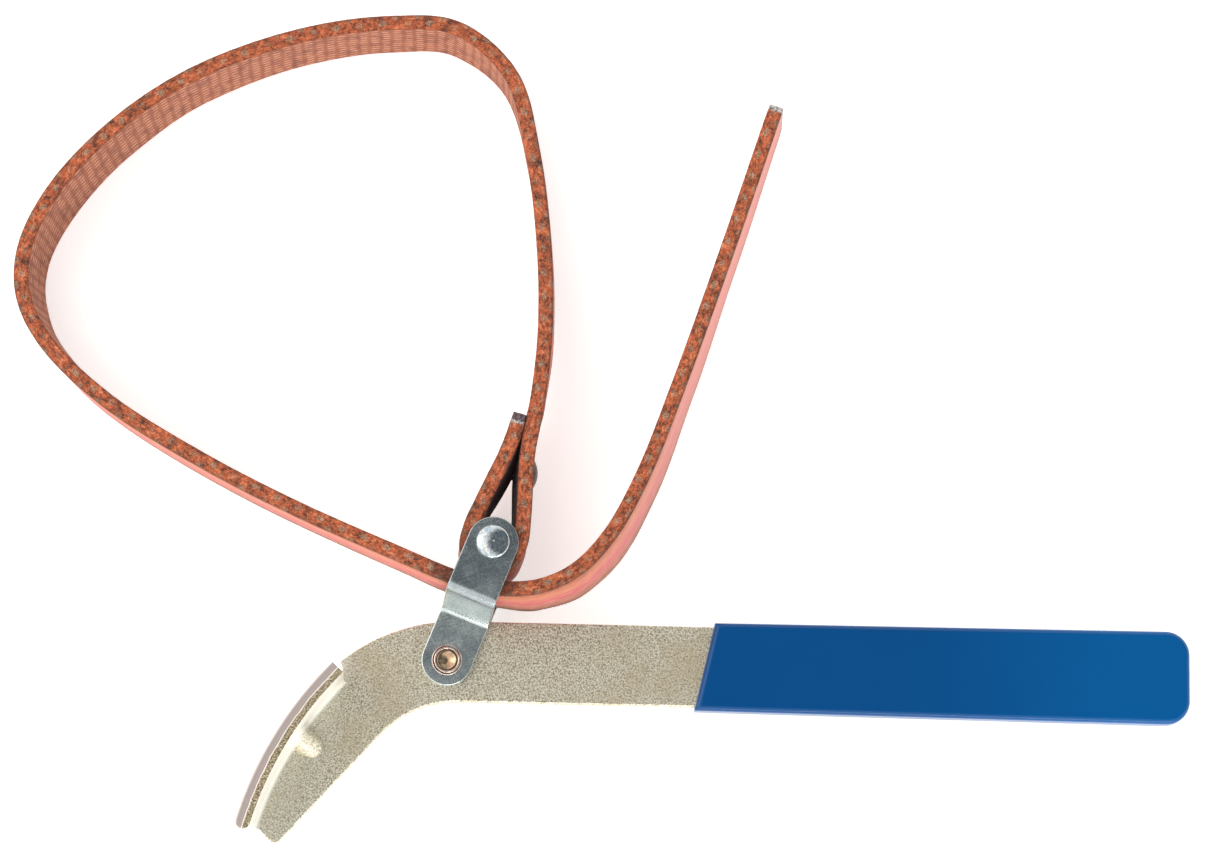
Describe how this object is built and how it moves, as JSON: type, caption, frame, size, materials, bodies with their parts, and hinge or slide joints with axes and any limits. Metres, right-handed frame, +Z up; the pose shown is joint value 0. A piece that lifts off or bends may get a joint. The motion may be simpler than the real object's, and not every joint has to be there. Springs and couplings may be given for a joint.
{
  "type": "oil filter strap wrench",
  "caption": "Strap wrench for oil filters: flat steel handle with a turned-up curved flange and a grip, a pinned link pair, and a woven strap in a loop.",
  "frame": {"origin": "centre of the wrench's footprint, on the surface it lies on", "axes": "+X along the handle towards the grip, +Y from the handle towards the strap's loop, +Z up off the surface"},
  "size_m": [0.298, 0.2092, 0.0277],
  "materials": {
    "zinc_steel": "dull yellow-grey zinc plate, speckled",
    "grip_vinyl": "dipped glossy blue vinyl",
    "copper_rivet": "copper plate, clenched",
    "bright_zinc": "bright bluish zinc plate",
    "polished_steel": "polished",
    "webbing": "woven webbing, reddish brown inside and salmon pink outside",
    "dark_steel": "dark oiled steel"
  },
  "bodies": {
    "handle": {"handle_bar": "zinc_steel", "grip_sleeve": "grip_vinyl", "pivot_rivet": "copper_rivet"},
    "links": {"front_link": "bright_zinc", "rear_link": "bright_zinc", "strap_pin": "polished_steel", "pin_bush": "bright_zinc"},
    "strap": {"strap": "webbing", "strap_rivet": "dark_steel", "strap_washer": "dark_steel"}
  },
  "joints": [
    {"name": "link_swing", "type": "hinge", "parent": "handle", "child": "links", "pos_m": [-0.03831, -0.05832, 0], "axis": [0, 0, 1], "range_deg": [-6, 58]},
    {"name": "strap_swivel", "type": "hinge", "parent": "links", "child": "strap", "pos_m": [-0.02769, -0.0308, 0], "axis": [0, 0, 1], "range_deg": [-6, 3]}
  ]
}
